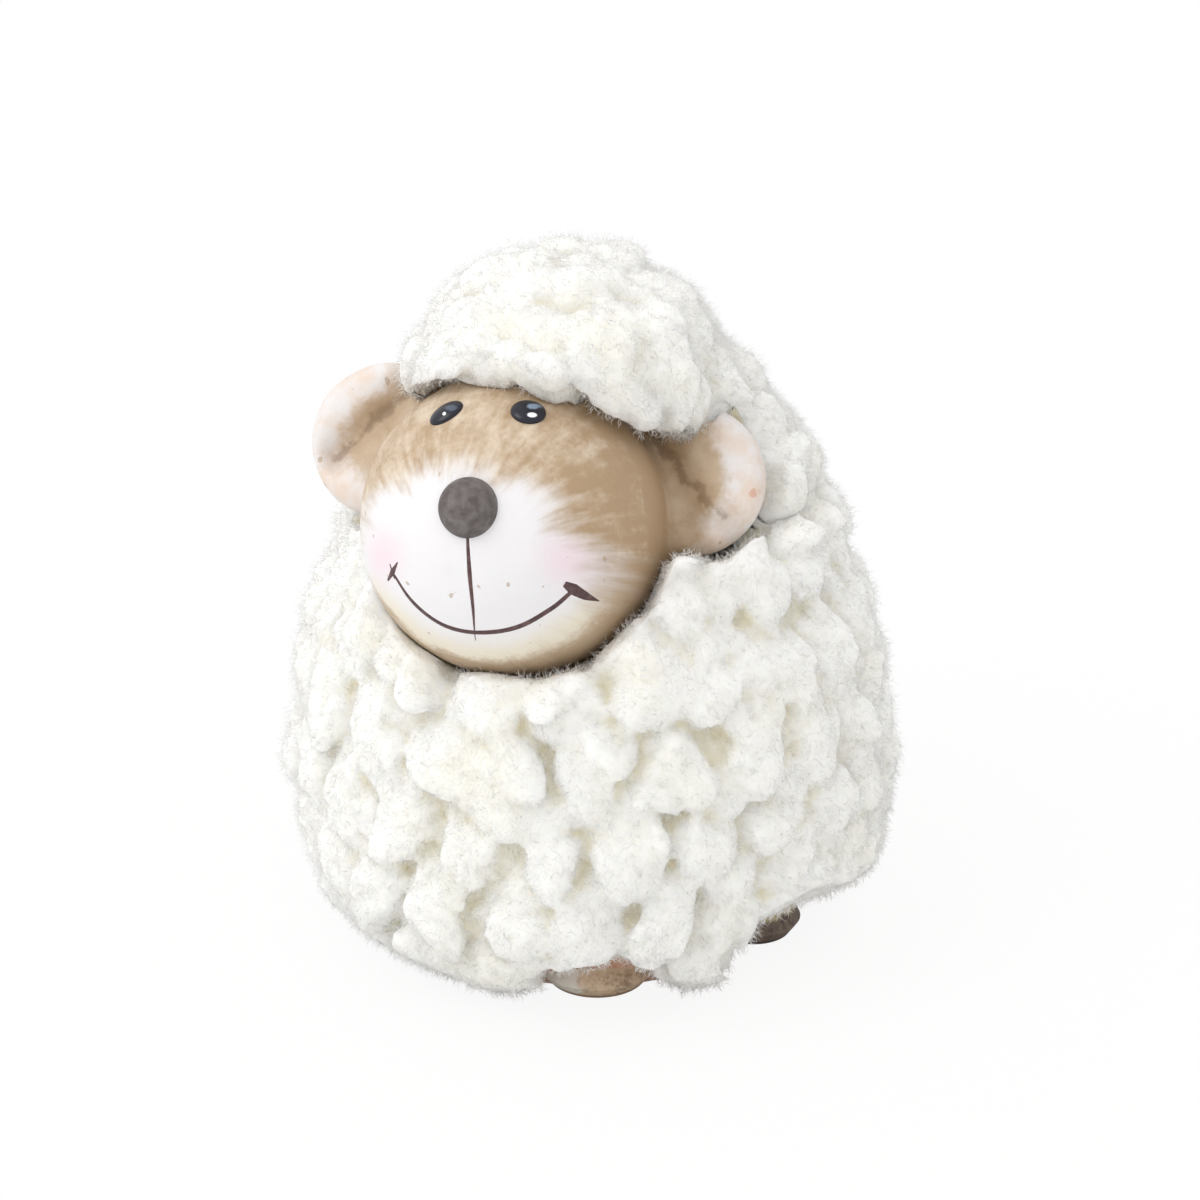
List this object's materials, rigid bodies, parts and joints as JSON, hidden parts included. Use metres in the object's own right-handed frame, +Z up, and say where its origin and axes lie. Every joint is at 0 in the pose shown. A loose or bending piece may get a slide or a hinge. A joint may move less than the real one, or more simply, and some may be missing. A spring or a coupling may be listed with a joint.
{
  "type": "sheep figurine",
  "caption": "Small clay sheep ornament, its body and crown wrapped in thick white looped fleece, with a painted smiling face, cupped ears and small brown feet.",
  "frame": {"origin": "centre of the clay foot ring, on the surface that the sheep stands on", "axes": "+Z up; the sheep's body faces -Y, with its head turned a little to its left; +X to the sheep's left"},
  "size_m": [0.0924, 0.0924, 0.1068],
  "materials": {
    "bare_clay": "matte fired terracotta",
    "painted_clay": "matte tan wash over white, hand brushed",
    "nose_paint": "satin dark brown paint",
    "eye_enamel": "glossy black enamel with a white dot",
    "foot_paint": "matte brown paint",
    "wool": "soft looped wool-like yarn"
  },
  "bodies": {
    "root": {"body_shell": "bare_clay", "head_shell": "painted_clay", "left_ear": "painted_clay", "right_ear": "painted_clay", "nose": "nose_paint", "left_eye": "eye_enamel", "right_eye": "eye_enamel", "front_left_foot": "foot_paint", "front_right_foot": "foot_paint", "rear_left_foot": "foot_paint", "rear_right_foot": "foot_paint", "body_fleece": "wool", "head_fleece": "wool"}
  },
  "joints": []
}
